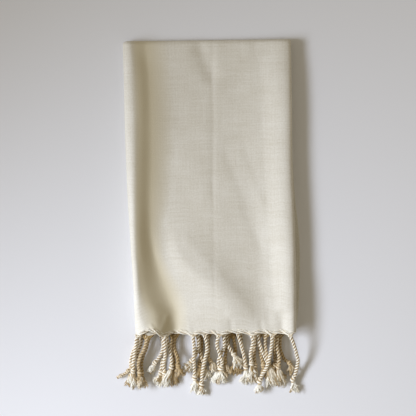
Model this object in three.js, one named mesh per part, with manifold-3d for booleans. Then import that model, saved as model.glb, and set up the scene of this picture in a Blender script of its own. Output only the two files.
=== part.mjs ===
// A cotton dish towel, folded in thirds lengthwise and then in half crosswise, lying on its back layer.
// Both of its ends have a fringe of twisted cords, which lie side by side below the folded edge.
// Millimetres, +Z up. +Y runs from the fringes to the crosswise fold, +X to the right.
import * as THREE from "three";
import { mergeVertices } from "three/addons/utils/BufferGeometryUtils.js";
import Module from "manifold-3d";

const THICKNESS = 1; // of the woven sheet
const LAYERS = 6; // three across, doubled by the crosswise fold
const TIGHT_PITCH = 1.4; // between layers where the stack is pressed flat
const FOLD_PITCH = 1.9; // between layers in the nose of the crosswise fold
const LAST = LAYERS - 1; // depth of the undermost layer, where the front panel has depth 0

const TOP_LINE = 176.4; // the crosswise fold's outermost line, at x = 0
const TOP_SLOPE = 0.014; // it is a little higher on the right
const EDGE_LINE = -115; // the front panel's woven end, at x = 0
const EDGE_SLOPE = 0.012;
const LAYER_DROPS = [0, -0.4, -1, -1.4, -1, -0.6]; // how much lower than the front panel each layer ends
const ARCH = { x: -58.5, width: 6.5, height: 3.8 }; // the front panel's end lifts over the roll
const ROLL_SHARE = 0.72; // part of the way from the left edge to the roll's crest that is the turn
const ROLL_FALL = 2.5; // how much lower than its crest the roll is at the left edge
const HIP_FALL = 0.8; // and than its hip the panel is at the right edge
const FRONT_TURN = 4; // reach of the front half's turn at the right edge
const BACK_TURN = 1; // the back half's is pressed tight by what lies on it

const SEAT_GAP = 0.45; // between the woven end and the fringe's header
const HEADER = 1.6; // length of the header, the last few picks that hold the cords
const CORD_RADIUS = 2;
const CORD_SIDES = 6;
const ROOT_RUN = 4; // a cord leaves its layer straight for this far
const FIRST_FALL = 0.85; // share of its fall that a cord has made at the first point of its route
const OVER_Z = 7.6; // centre of a front cord that lies over the back fringe
const FREE_Z = 2.6; // centre of the tip of a front cord with nothing under it
const UNDER_Z = 2.4; // centre of a back cord, on the surface

// Sections across the folded towel, from the fringe end to the fold. Each names the line of a feature
// and the height of the front panel there: the roll's crest at the left and its brow, the foot and the
// hollow of the valley beside it, the soft diagonal ridge, the dip after it with the rise beyond, and the
// hip before the right edge.
const SECTION_COLUMNS = ["y", "left", "crest", "crestZ", "brow", "browZ", "foot", "footZ", "hollow", "hollowZ",
  "ridge", "ridgeZ", "dip", "dipZ", "rise", "riseZ", "hip", "hipZ", "right", "backLeft", "backRight"];
const SECTIONS = [
  [-115, -72, -60, 19.8, -52.5, 19.6, -33.2, 8.6, -19, 12, 6, 13, 54, 12.6, 66, 13.6, 82.5, 16.8, 87, -71, 86],
  [-108, -72.5, -63, 19.9, -53, 19.5, -32.8, 8.6, -19, 12, 14, 14, 56, 12.6, 66, 13.4, 82.5, 17, 87, -71.6, 88],
  [-98, -73, -67, 20.2, -54, 18.8, -32.6, 8.8, -19, 11.8, 24, 15.8, 60, 12.4, 66, 13.2, 82.5, 17, 87, -72.5, 89.5],
  [-83, -73.5, -69.5, 20.3, -61.5, 18.6, -37, 8.8, -21, 11.6, 18, 16, 56, 11, 63, 11.8, 82, 16.9, 87, -74, 90.8],
  [-68, -74, -70.5, 20.3, -66, 18.7, -42.5, 8.8, -27, 10.6, 6, 15.4, 51, 8.8, 61, 9.8, 81.5, 16.6, 87, -75, 91],
  [-53, -75, -71.3, 20.2, -67.6, 18.8, -48, 9.2, -36, 10.2, -12, 14, 51, 7.6, 60, 8.6, 81, 15.8, 86.6, -76, 91.5],
  [-33, -76, -73, 20, -69.4, 19, -53.5, 10.1, -44, 10, -28, 12.4, 50, 6.7, 59, 8, 80.5, 15.6, 86.3, -77.4, 91.2],
  [-13, -77, -73.4, 20, -69.8, 18.9, -57, 11.2, -44, 9.6, -32, 10.2, 47, 6.6, 57, 8.2, 79.5, 15.6, 85.8, -78.6, 90],
  [17, -79, -73.6, 20, -69.8, 18.7, -57, 11.7, -38, 8.8, -6, 8.5, 42, 6.9, 56, 8.7, 78, 15.4, 84.5, -80.5, 86.5],
  [47, -80.5, -73.6, 19.8, -69, 18.2, -56.5, 11.8, -36, 8.2, -8, 7.8, 36, 6.4, 54, 8.2, 77.5, 15.2, 83.5, -81.8, 84.5],
  [77, -82, -74, 19.5, -68, 17.5, -56.5, 11.8, -34, 7.6, -8, 7, 28, 6, 52, 8.1, 77, 15, 83.1, -83, 82.8],
  [107, -83, -74.6, 18.9, -68, 17, -57, 11.6, -34, 7.5, -10, 6.7, 22, 6, 51, 8.1, 76.4, 14.8, 82.9, -83.9, 82.3],
  [137, -83.8, -76, 17.8, -69, 15.8, -58, 10.8, -36, 7.6, -12, 6.9, 20, 6.4, 50, 8.5, 75.8, 14.4, 82.5, -84.4, 82],
  [157, -84.5, -77, 16, -70.5, 14, -60, 9.8, -38, 8, -12, 7.5, 16, 7.4, 48, 8.8, 75, 13.4, 82.2, -84.6, 81.9],
  [172, -85, -78, 14.6, -71.5, 12.8, -61, 9.8, -40, 8.6, -15, 8.2, 14, 8, 48, 9.2, 75, 12.8, 82, -84.7, 81.7],
].map((row) => Object.fromEntries(SECTION_COLUMNS.map((name, i) => [name, row[i]])));

// Cords of the fringe: the layer that each grows from, its x at the edge, how high its tip's centre is, and
// its route as points (x, distance below the edge), of which the last two are its knot and its tip. A
// fractional layer is a place on the turn between two layers.
const CORD_COLUMNS = ["layer", "root", "tipZ", "route"];
const CORDS = [
  [0.41, -70.5, OVER_Z, [[-72, 13], [-73.7, 25], [-75, 38], [-74.5, 55]]],
  [1.9, -66.4, OVER_Z, [[-67, 12], [-70.5, 20], [-70.7, 30], [-69, 38], [-66, 54]]],
  [1, -60, OVER_Z, [[-63, 14], [-67.5, 23], [-69.5, 31], [-68, 40], [-67, 54]]],
  [0, -44, OVER_Z, [[-43, 13], [-43, 24], [-44.5, 32], [-43.5, 42], [-44, 54]]],
  [1, -42, OVER_Z, [[-39.5, 13], [-37, 24], [-37, 35], [-41.5, 53]]],
  [2, -33, OVER_Z, [[-34, 14], [-30.5, 25], [-29.8, 34], [-27, 44]]],
  [0, -15.5, FREE_Z, [[-14, 14], [-14.4, 28], [-13.4, 46], [-13.5, 60]]],
  [2, -11, FREE_Z, [[-9.7, 11], [-12.5, 22], [-17.5, 29], [-25, 40]]],
  [1, -4, FREE_Z, [[-1.2, 14], [-3, 25], [-5.2, 35], [-6.8, 52], [-5, 64]]],
  [0, 11, FREE_Z, [[8.5, 10.5], [11.5, 21.5], [13.8, 30], [12.5, 36], [15, 50]]],
  [1, 15, OVER_Z, [[15.8, 12], [12.5, 21.5], [10, 29], [10.8, 36], [9, 51]]],
  [2, 17.5, OVER_Z, [[18.8, 10], [22.5, 17.5], [26, 22.5], [30.5, 34]]],
  [0, 43, OVER_Z, [[44.3, 9], [42, 20], [43, 32], [44, 46]]],
  [1, 48, OVER_Z, [[51.8, 13], [56, 24], [59, 32], [60, 41], [65, 54]]],
  [2, 58, OVER_Z, [[56.5, 10], [58, 21], [60, 32], [66.5, 52]]],
  [0, 63.5, OVER_Z, [[62.6, 13], [60.7, 25], [57.5, 35], [52.5, 44], [51, 49], [51.5, 60]]],
  [2, 69, OVER_Z, [[68.3, 13], [70.5, 24], [69.5, 35], [73, 53]]],
  [0, 80, FREE_Z, [[84.5, 11], [88, 23], [89, 29], [86.5, 42], [84, 47.5], [87.5, 60]]],
  [4.9, -66, UNDER_Z, [[-72.5, 14], [-77, 28], [-77.5, 42], [-78, 55]]],
  [3.41, -69, UNDER_Z, [[-71, 14], [-75, 30], [-80.5, 39], [-91, 45]]],
  [3, -58, UNDER_Z, [[-61.5, 14], [-66.5, 28], [-67, 41], [-65, 55]]],
  [3, -45, UNDER_Z, [[-45, 15], [-48.5, 24], [-53.5, 30.5], [-58, 41]]],
  [5, -48, UNDER_Z, [[-44, 18], [-46, 29], [-47.5, 41], [-53, 53]]],
  [5, -34, UNDER_Z, [[-37, 14], [-35, 26], [-34.5, 36], [-35, 52]]],
  [3, -9, UNDER_Z, [[-9, 15], [-6.5, 26], [-4, 35], [-1.5, 46]]],
  [4, -7.5, UNDER_Z, [[-7.2, 13], [-7.5, 24], [-9, 34], [-9.5, 46]]],
  [4, -1, UNDER_Z, [[0, 13], [0, 25], [2, 29], [7, 39]]],
  [4, 21, UNDER_Z, [[19.5, 10], [17, 22], [16.5, 31], [20, 42]]],
  [5, 24, UNDER_Z, [[26, 11], [27, 21], [26.5, 31], [26, 43]]],
  [3, 29, UNDER_Z, [[33, 12.5], [35.3, 22], [37.5, 36], [38, 52]]],
  [5, 32, UNDER_Z, [[33, 12], [34, 19], [35.5, 24], [34, 36]]],
  [5, 46, UNDER_Z, [[46.3, 13], [45.7, 22], [46.3, 33], [47.5, 49]]],
  [3, 51, UNDER_Z, [[51, 14], [53, 24], [55.5, 34], [56, 47]]],
  [5, 66, UNDER_Z, [[66.3, 14], [66.5, 26], [69, 36], [73, 47]]],
  [3, 71.5, UNDER_Z, [[71, 16], [76, 27], [81.5, 31], [83.5, 42]]],
  [5, 72, UNDER_Z, [[71, 14], [70, 25], [65, 34], [63, 47]]],
].map((row) => Object.fromEntries(CORD_COLUMNS.map((name, i) => [name, row[i]])));

// A cord's thickness as a share of its full radius, from its root in the header to its frayed tip.
const CORD_GIRTH = [
  [0, 0.25], [0.1, 0.28], [0.2, 1], [0.4, 1], [0.6, 1], [0.75, 1.2], [0.9, 1.2], [1, 0.8],
];

const { lerp } = THREE.MathUtils;

// A smooth curve through the points (xs, ys) that never overshoots them.
function through(xs, ys, x) {
  const last = xs.length - 1;
  if (x <= xs[0]) return ys[0];
  if (x >= xs[last]) return ys[last];
  let i = 0;
  while (x > xs[i + 1]) i++;
  const rise = (k) => (ys[k + 1] - ys[k]) / (xs[k + 1] - xs[k]);
  const slope = (k) => {
    if (k === 0 || k === last) return 0;
    const product = rise(k - 1) * rise(k);
    return product > 0 ? (2 * product) / (rise(k - 1) + rise(k)) : 0;
  };
  const step = xs[i + 1] - xs[i];
  const t = (x - xs[i]) / step;
  const ease = t * t * (3 - 2 * t);
  return (
    lerp(ys[i], ys[i + 1], ease) +
    step * t * (1 - t) * ((1 - t) * slope(i) - t * slope(i + 1))
  );
}

const sectionYs = SECTIONS.map((s) => s.y);

// The named columns of the section table at any y.
function sectionAt(y) {
  return Object.fromEntries(
    SECTION_COLUMNS.map((name) => [name, through(sectionYs, SECTIONS.map((s) => s[name]), y)]),
  );
}

// Height of the front panel's middle surface, which never presses the layers under it together.
function panelHeight(x, y) {
  const s = sectionAt(y);
  const features = ["crest", "brow", "foot", "hollow", "ridge", "dip", "rise", "hip"];
  const height = through(
    [s.left, ...features.map((name) => s[name]), s.right],
    [s.crestZ - ROLL_FALL, ...features.map((name) => s[name + "Z"]), s.hipZ - HIP_FALL],
    x,
  );
  return Math.max(height, THICKNESS / 2 + LAST * TIGHT_PITCH);
}

// Height of a layer's middle surface: level 0 is the flat undermost layer and level 1 the front panel.
// Layers are at least the tight pitch apart, and the looser ones above share what height is left.
function layerHeight(x, y, level) {
  const tight = LAST * TIGHT_PITCH;
  const slack = panelHeight(x, y) - THICKNESS / 2 - tight;
  return THICKNESS / 2 + tight * level + slack * level * level;
}

// The woven end of a layer. Only the front panel's end arches over the roll.
function edgeLine(x, depth) {
  const arch = ARCH.height * Math.exp(-(((x - ARCH.x) / ARCH.width) ** 2)) * Math.max(0, 1 - depth);
  const layers = LAYER_DROPS.map((_, i) => i);
  return EDGE_LINE + EDGE_SLOPE * x - through(layers, LAYER_DROPS, depth) + arch;
}

// The columns of the sheet, from the right third's selvedge, which lies just under the front panel,
// round the right turn, across the front panel, round the roll and across the left third beneath.
const TRACKS = 12;
const RIGHT_TURN_STEPS = 4;
const ROLL_STEPS = 6;
function sheetColumns() {
  const across = (depth) => Array.from({ length: TRACKS }, (_, track) => ({ track, depth }));
  const turn = (side, steps, depthAt) =>
    Array.from({ length: steps - 1 }, (_, k) => {
      const angle = (Math.PI * (k + 1)) / steps;
      return { side, bulge: Math.sin(angle), depth: depthAt(angle) };
    });
  return [
    ...across(1),
    ...turn("right", RIGHT_TURN_STEPS, (angle) => (1 + Math.cos(angle)) / 2),
    ...across(0).reverse(),
    ...turn("left", ROLL_STEPS, (angle) => 1 - Math.cos(angle)),
    ...across(2),
  ];
}

// Where a column lies at a section. The tracks follow the features, so that the facets do too.
function columnX(column, s, backShare) {
  const left = lerp(s.left, s.backLeft, backShare) + THICKNESS / 2;
  const right = lerp(s.right, s.backRight, backShare) - THICKNESS / 2;
  const rollStart = lerp(left, s.crest, ROLL_SHARE);
  const turnStart = right - lerp(FRONT_TURN, BACK_TURN, backShare);
  if (column.side === "left") return lerp(rollStart, left, column.bulge);
  if (column.side === "right") return lerp(turnStart, right, column.bulge);
  const middle = (a, b) => (a + b) / 2;
  return [
    rollStart, s.crest, s.brow, s.foot, s.hollow, middle(s.hollow, s.ridge),
    s.ridge, middle(s.ridge, s.dip), s.dip, s.rise, s.hip, turnStart,
  ][column.track];
}

// A point of the sheet's middle surface. The angle is 0 on the front half, goes round the crosswise
// fold and is pi on the back half. along is 0 at the woven end and 1 at the fold.
function sheetPoint(column, angle, along, below = 0) {
  const share = (1 - Math.cos(angle)) / 2;
  const depth = lerp(column.depth, LAST - column.depth, share);
  const reach = (LAST / 2 - column.depth) * FOLD_PITCH;
  const foldY = TOP_LINE - THICKNESS / 2 - (LAST / 2) * FOLD_PITCH;
  const section = sectionAt(lerp(EDGE_LINE, foldY, along));
  const x = columnX(column, section, share);
  const edge = edgeLine(x, angle < Math.PI / 2 ? column.depth : LAST - column.depth) - below;
  const y = lerp(edge, foldY + TOP_SLOPE * x, along) + reach * Math.sin(angle);
  return new THREE.Vector3(x, y, layerHeight(x, y, 1 - depth / LAST));
}

// A closed sheet of the given thickness about a grid of points of its middle surface.
function sheetGeometry(grid) {
  const rows = grid.length;
  const columns = grid[0].length;
  const clampedTo = (list, i) => list[Math.min(list.length - 1, Math.max(0, i))];
  const positions = [];
  for (const side of [1, -1])
    for (let r = 0; r < rows; r++)
      for (let c = 0; c < columns; c++) {
        const across = clampedTo(grid[r], c + 1).clone().sub(clampedTo(grid[r], c - 1));
        const along = clampedTo(grid, r + 1)[c].clone().sub(clampedTo(grid, r - 1)[c]);
        const normal = across.cross(along).normalize();
        positions.push(...grid[r][c].clone().addScaledVector(normal, (side * THICKNESS) / 2));
      }
  const index = [];
  const at = (r, c, under) => (under ? rows * columns : 0) + r * columns + c;
  const quad = (a, b, c, d) => index.push(a, b, c, a, c, d);
  for (let r = 0; r + 1 < rows; r++) {
    for (let c = 0; c + 1 < columns; c++) {
      quad(at(r, c), at(r, c + 1), at(r + 1, c + 1), at(r + 1, c));
      quad(at(r, c, true), at(r + 1, c, true), at(r + 1, c + 1, true), at(r, c + 1, true));
    }
    quad(at(r, 0), at(r + 1, 0), at(r + 1, 0, true), at(r, 0, true));
    const end = columns - 1;
    quad(at(r, end), at(r, end, true), at(r + 1, end, true), at(r + 1, end));
  }
  for (let c = 0; c + 1 < columns; c++) {
    quad(at(0, c), at(0, c, true), at(0, c + 1, true), at(0, c + 1));
    const top = rows - 1;
    quad(at(top, c), at(top, c + 1), at(top, c + 1, true), at(top, c, true));
  }
  return geometryOf(positions, index);
}

function geometryOf(positions, index) {
  const geometry = new THREE.BufferGeometry();
  geometry.setAttribute("position", new THREE.Float32BufferAttribute(positions, 3));
  geometry.setIndex(index);
  return geometry;
}

const columns = sheetColumns();

// The whole sheet: up the front half, round the crosswise fold and down the back half.
const ALONGS = [0, 0.07, 0.17, 0.3, 0.44, 0.58, 0.72, 0.86, 1]; // closer together by the woven end
const FOLD_STEPS = 6;
function clothGeometry() {
  const rows = [
    ...ALONGS.map((along) => ({ angle: 0, along })),
    ...Array.from({ length: FOLD_STEPS - 1 }, (_, k) => ({
      angle: (Math.PI * (k + 1)) / FOLD_STEPS,
      along: 1,
    })),
    ...ALONGS.toReversed().map((along) => ({ angle: Math.PI, along })),
  ];
  return sheetGeometry(rows.map(({ angle, along }) => columns.map((c) => sheetPoint(c, angle, along))));
}

// The header of a fringe: a narrow strip that follows the folded edge.
function headerGeometry(angle) {
  const rows = angle ? [SEAT_GAP, SEAT_GAP + HEADER] : [SEAT_GAP + HEADER, SEAT_GAP];
  return sheetGeometry(rows.map((below) => columns.map((c) => sheetPoint(c, angle, 0, below))));
}

// A cord: six-sided rings along a smooth curve from the header down to its rest on the surface.
function cordGeometry(cord) {
  const { layer, root, tipZ, route } = cord;
  const edge = edgeLine(root, layer);
  const start = edge - SEAT_GAP - HEADER / 2;
  const rootZ = layerHeight(root, edge, 1 - layer / LAST);
  const restZ = layer > LAST / 2 ? UNDER_Z : OVER_Z;
  const curve = new THREE.CatmullRomCurve3([
    new THREE.Vector3(root, start, rootZ),
    new THREE.Vector3(root, start - ROOT_RUN, rootZ),
    ...route.map(([x, below], i) => {
      const z = i === 0 ? lerp(rootZ, restZ, FIRST_FALL) : i === route.length - 1 ? tipZ : restZ;
      return new THREE.Vector3(x, EDGE_LINE - below, z);
    }),
  ]);
  const up = new THREE.Vector3(0, 0, 1);
  const positions = [];
  for (const [share, girth] of CORD_GIRTH) {
    const radius = girth * CORD_RADIUS;
    const centre = curve.getPointAt(share);
    centre.z = Math.max(centre.z, radius * Math.cos(Math.PI / CORD_SIDES));
    const tangent = curve.getTangentAt(share);
    const side = tangent.clone().cross(up).normalize();
    const lift = tangent.cross(side);
    for (let k = 0; k < CORD_SIDES; k++) {
      const angle = (2 * Math.PI * k) / CORD_SIDES;
      const point = centre.clone();
      point.addScaledVector(side, Math.cos(angle) * radius);
      point.addScaledVector(lift, Math.sin(angle) * radius);
      positions.push(...point);
    }
  }
  const index = [];
  const rings = CORD_GIRTH.length;
  const at = (ring, k) => ring * CORD_SIDES + (k % CORD_SIDES);
  for (let ring = 0; ring + 1 < rings; ring++)
    for (let k = 0; k < CORD_SIDES; k++) {
      index.push(at(ring, k), at(ring, k + 1), at(ring + 1, k + 1));
      index.push(at(ring, k), at(ring + 1, k + 1), at(ring + 1, k));
    }
  for (let k = 1; k + 1 < CORD_SIDES; k++) {
    index.push(at(0, 0), at(0, k + 1), at(0, k));
    index.push(at(rings - 1, 0), at(rings - 1, k), at(rings - 1, k + 1));
  }
  return geometryOf(positions, index);
}

const wasm = await Module();
wasm.setup();

function solidOf(geometry) {
  const merged = mergeVertices(geometry);
  return new wasm.Manifold(
    new wasm.Mesh({
      numProp: 3,
      vertProperties: merged.attributes.position.array,
      triVerts: new Uint32Array(merged.index.array),
    }),
  );
}

// One comb: the header and all of the cords that grow from it, joined.
function fringeGeometry(angle) {
  const onThisSide = (cord) => cord.layer > LAST / 2 === angle > 0;
  const comb = CORDS.filter(onThisSide).reduce(
    (solid, cord) => solid.add(solidOf(cordGeometry(cord))),
    solidOf(headerGeometry(angle)),
  );
  const { vertProperties, triVerts } = comb.getMesh();
  return geometryOf(Array.from(vertProperties), Array.from(triVerts));
}

function piece(name, geometry, color) {
  const material = new THREE.MeshStandardMaterial({ color, roughness: 0.92, metalness: 0 });
  const mesh = new THREE.Mesh(geometry, material);
  mesh.name = name;
  return mesh;
}

const towel = new THREE.Group();
towel.add(
  piece("cloth", clothGeometry(), 0xd6d2c6),
  piece("fringe_front", fringeGeometry(0), 0xe2dbcd),
  piece("fringe_back", fringeGeometry(Math.PI), 0xe2dbcd),
);

// The origin is under the middle of the whole towel, on the surface that it lies on.
const box = new THREE.Box3().setFromObject(towel);
const centre = box.getCenter(new THREE.Vector3());
towel.position.set(-centre.x, -centre.y, -box.min.z);

export default towel;
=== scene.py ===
# %% [markdown]
# # A folded dish towel with knotted fringes
#
# The real towel is one panel of unbleached cotton in plain weave, half a metre wide. At both ends
# the warp is left long and twisted by hand into cords, and each cord ends in a knot and a frayed
# tuft. It is folded in thirds lengthwise, then in half crosswise, and lies on a pale surface.
#
# The packed model gives the place and the size. It holds plain solids of the same towel: the sheet
# and one comb for each fringe. Everything that shows is made here, finer, in the same folds.

# %% The packed frame
import math

import bpy
import numpy as np
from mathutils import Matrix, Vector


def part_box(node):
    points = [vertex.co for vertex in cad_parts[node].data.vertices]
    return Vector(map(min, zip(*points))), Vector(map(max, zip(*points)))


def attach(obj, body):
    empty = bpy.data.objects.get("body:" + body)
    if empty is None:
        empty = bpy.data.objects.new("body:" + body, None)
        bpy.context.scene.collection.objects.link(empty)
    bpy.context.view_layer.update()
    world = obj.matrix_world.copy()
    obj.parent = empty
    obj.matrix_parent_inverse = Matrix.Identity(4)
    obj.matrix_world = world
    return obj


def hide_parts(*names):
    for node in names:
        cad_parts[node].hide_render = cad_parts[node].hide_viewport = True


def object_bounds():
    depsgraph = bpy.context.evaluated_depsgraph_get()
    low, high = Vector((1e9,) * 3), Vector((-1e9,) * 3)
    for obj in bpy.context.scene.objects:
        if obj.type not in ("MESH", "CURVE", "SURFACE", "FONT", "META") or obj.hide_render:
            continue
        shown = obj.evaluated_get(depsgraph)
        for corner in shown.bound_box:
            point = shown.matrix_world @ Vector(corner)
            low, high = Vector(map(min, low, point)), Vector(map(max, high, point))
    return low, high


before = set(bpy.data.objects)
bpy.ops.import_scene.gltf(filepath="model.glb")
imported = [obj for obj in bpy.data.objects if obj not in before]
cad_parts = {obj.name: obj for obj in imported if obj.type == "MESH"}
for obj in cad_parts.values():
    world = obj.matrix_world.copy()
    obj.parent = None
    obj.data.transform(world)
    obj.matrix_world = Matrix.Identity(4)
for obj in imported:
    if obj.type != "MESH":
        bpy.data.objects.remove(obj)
cad_box = [list(corner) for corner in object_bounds()]
cloth_low, cloth_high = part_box("cloth")
MM = 0.001
bpy.ops.object.select_all(action="DESELECT")
print("frame", sorted(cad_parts), "box", cad_box)

# %% [markdown]
# ## Camera
#
# The towel is seen from straight above, as a still life on a table is. A long lens a good way up
# keeps the sides of the folds from showing, so the camera hangs high over the towel's middle.

# %% Camera
CAMERA_HEIGHT = 1.3
FIELD = 0.416  # width of what the camera sees on the surface
SENSOR = 36.0
LOOK_PAST = 10.2 * MM  # how far past the towel's middle the camera looks, towards the far fold
middle = [(low + high) / 2 for low, high in zip(*cad_box)]
bpy.ops.object.camera_add(location=(middle[0], middle[1] + LOOK_PAST, CAMERA_HEIGHT), rotation=(0, 0, 0))
camera = bpy.context.object
camera.data.sensor_width = SENSOR
camera.data.lens = SENSOR * CAMERA_HEIGHT / FIELD
bpy.context.scene.camera = camera
bpy.context.scene.view_settings.view_transform = "Standard"
print("camera", round(camera.data.lens, 1), "mm lens")

# %% [markdown]
# ## Shader maths
#
# A finish is easier to read as a sum than as a heap of boxes, so a socket is wrapped in a small
# class with the usual operators. Each expression on it adds the Math nodes that work it out.

# %% Shader maths
class Strand:
    """A socket of a finish: expressions on it become Math nodes."""

    def __init__(self, finish, socket):
        self.finish = finish
        self.socket = socket

    def maths(self, operation, *values):
        return self.finish.node("ShaderNodeMath", {"operation": operation}, dict(enumerate(values)))

    def __add__(self, other):
        return self.maths("ADD", self, other)

    def __sub__(self, other):
        return self.maths("SUBTRACT", self, other)

    def __rsub__(self, other):
        return self.maths("SUBTRACT", other, self)

    def __mul__(self, other):
        return self.maths("MULTIPLY", self, other)

    def __truediv__(self, other):
        return self.maths("DIVIDE", self, other)

    def __rtruediv__(self, other):
        return self.maths("DIVIDE", other, self)

    def __abs__(self):
        return self.maths("ABSOLUTE", self)

    def sine(self):
        return self.maths("SINE", self)

    def or_more(self, other):
        return self.maths("MAXIMUM", self, other)

    __radd__ = __add__
    __rmul__ = __mul__


print("a socket takes + - * / and abs, or sine and or_more")

# %% [markdown]
# ## Finishes
#
# Cloth, yarn and table are each a node material. One method adds any node, from its type, its
# settings and what goes into its sockets, and a few short ones add the nodes that all finishes use.

# %% Finishes
class Finish:
    """A node material, with one method that adds any node."""

    def __init__(self, name):
        self.material = bpy.data.materials.new(name)
        self.material.use_nodes = True
        self.tree = self.material.node_tree
        self.tree.nodes.clear()

    def node(self, kind, settings=None, inputs=None, output=0):
        made = self.tree.nodes.new(kind)
        for name, value in (settings or {}).items():
            setattr(made, name, value)
        for name, value in (inputs or {}).items():
            if isinstance(value, Strand):
                self.tree.links.new(value.socket, made.inputs[name])
            else:
                made.inputs[name].default_value = value
        return Strand(self, made.outputs[output]) if made.outputs else None

    def uv(self):
        """The piece's own coordinates, across and along its threads."""
        place = self.node("ShaderNodeUVMap", {"uv_map": "threads"})
        return [self.node("ShaderNodeSeparateXYZ", inputs={"Vector": place}, output=i) for i in (0, 1)]

    def noise(self, across, along, detail=2.0, rough=0.5):
        place = self.node("ShaderNodeCombineXYZ", inputs={"X": across, "Y": along})
        return self.node(
            "ShaderNodeTexNoise",
            {"noise_dimensions": "2D"},
            {"Vector": place, "Scale": 1.0, "Detail": detail, "Roughness": rough},
        )

    def tint(self, share, dark, light):
        """A colour between two, each a socket or three numbers."""
        dark, light = (end if isinstance(end, Strand) else (*end, 1.0) for end in (dark, light))
        return self.node("ShaderNodeMix", {"data_type": "RGBA"}, {0: share, 6: dark, 7: light}, output=2)

    def done(self, shader):
        self.node("ShaderNodeOutputMaterial", inputs={"Surface": shader})
        return self.material


print("a finish has", [name for name in vars(Finish) if not name.startswith("_")])

# %% [markdown]
# ## Surface
#
# The towel lies on a smooth painted table, wide enough to fill the view from any side. It is only
# there to catch light and shadow, and isn't a piece of the towel.

# %% Surface
FLOOR_COLOUR = (0.80, 0.80, 0.81)
FLOOR_SIZE = 8


def surface_finish():
    finish = Finish("painted table")
    place = finish.node("ShaderNodeTexCoord", output=3)
    grain = finish.node("ShaderNodeTexNoise", inputs={"Vector": place, "Scale": 60.0, "Detail": 3.0})
    shader = finish.node(
        "ShaderNodeBsdfPrincipled",
        inputs={
            "Base Color": (*FLOOR_COLOUR, 1.0),
            "Roughness": grain * 0.1 + 0.6,
            "Specular IOR Level": 0.3,
        },
    )
    return finish.done(shader)


bpy.ops.mesh.primitive_plane_add(size=FLOOR_SIZE, location=(0, 0, 0))
surface = bpy.context.object
surface.name = "table_surface"
surface.data.materials.append(surface_finish())
print("table", FLOOR_SIZE, "m wide")

# %% [markdown]
# ## Light
#
# Cloth shows its folds only in raking light. A low row of soft lamps at the left stands in for a
# window: each fold gets a lit and a shaded side, and shadows blur more across the row than along it.
# The lamps are spots with wide soft rims, aimed past the fringe, so that their light thins out
# towards the fold, as daylight does across a table. A dim warm room fills the shadows.

# %% Light
LAMP_PLACE = (-1.0, -0.28, 0.72)
LAMP_AIM = (4.0, -1.9, 0.0)
LAMP_SPACING = 0.30
LAMP_COUNT = 3
LAMP_COLOUR = (0.80, 0.86, 1.0)
LAMP_WATTS = 139.0
LAMP_RADIUS = 0.18
LAMP_CONE = math.radians(117)
ROOM_COLOUR = (1.0, 0.89, 0.69)
ROOM_STRENGTH = 0.33

run = [aim - place for place, aim in zip(LAMP_PLACE, LAMP_AIM)]
reach = math.hypot(run[0], run[1])
for k in range(LAMP_COUNT):
    aside = (k - (LAMP_COUNT - 1) / 2) * LAMP_SPACING
    bpy.ops.object.light_add(
        type="SPOT",
        location=(
            LAMP_PLACE[0] - aside * run[1] / reach,
            LAMP_PLACE[1] + aside * run[0] / reach,
            LAMP_PLACE[2],
        ),
        rotation=(math.atan2(reach, -run[2]), 0, math.atan2(run[1], run[0]) - math.pi / 2),
    )
    lamp = bpy.context.object
    lamp.data.energy = LAMP_WATTS / LAMP_COUNT
    lamp.data.color = LAMP_COLOUR
    lamp.data.shadow_soft_size = LAMP_RADIUS
    lamp.data.spot_size = LAMP_CONE
    lamp.data.spot_blend = 1.0

room = bpy.data.worlds.new("room")
room.use_nodes = True
room.node_tree.nodes["Background"].inputs["Color"].default_value = (*ROOM_COLOUR, 1.0)
room.node_tree.nodes["Background"].inputs["Strength"].default_value = ROOM_STRENGTH
bpy.context.scene.world = room
print(LAMP_COUNT, "lamps and a warm room")

# %% [markdown]
# ## The folds
#
# Folding keeps the cloth's threads and only moves them, so the folded towel is one smooth map from
# the flat panel: across it, round a tight turn at the right and a soft roll at the left, and along
# it, round the crosswise fold. A table of sections says how high the front panel lies, and every
# layer beneath follows it, closer together the lower it lies, so that the layers never meet.

# %% The folds
SHEET = 0.8  # thickness of the cloth, in millimetres as all sizes of the folds and the cords are
LAST = 5  # depth of the undermost of the six layers
TIGHT_PITCH = 1.1  # least distance from layer to layer
FOLD_PITCH = 1.9  # their distance round the crosswise fold
TOP_LINE = 176.4  # y of the crosswise fold at x = 0, and its slope
TOP_SLOPE = 0.014
EDGE_LINE = -115  # y of the woven ends at x = 0, and their slope
EDGE_SLOPE = 0.012
LAYER_DROPS = [0, -0.4, -1, -1.4, -1, -0.6]  # how far each layer's end reaches past that line
ARCH = {"x": -58.5, "width": 6.5, "height": 3.8}  # where the roll draws the top layer's end back
ROLL_SHARE = 0.6  # how far from the left side towards the crest the soft roll goes
ROLL_FALL = 2.5  # how much lower than the crest the panel is at its left side
HIP_FALL = 0.8  # how much lower than the hip it is at its right side
FRONT_TURN = 3.5  # width of the tight turn at the right, in the front half and in the back half
BACK_TURN = 1

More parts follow.
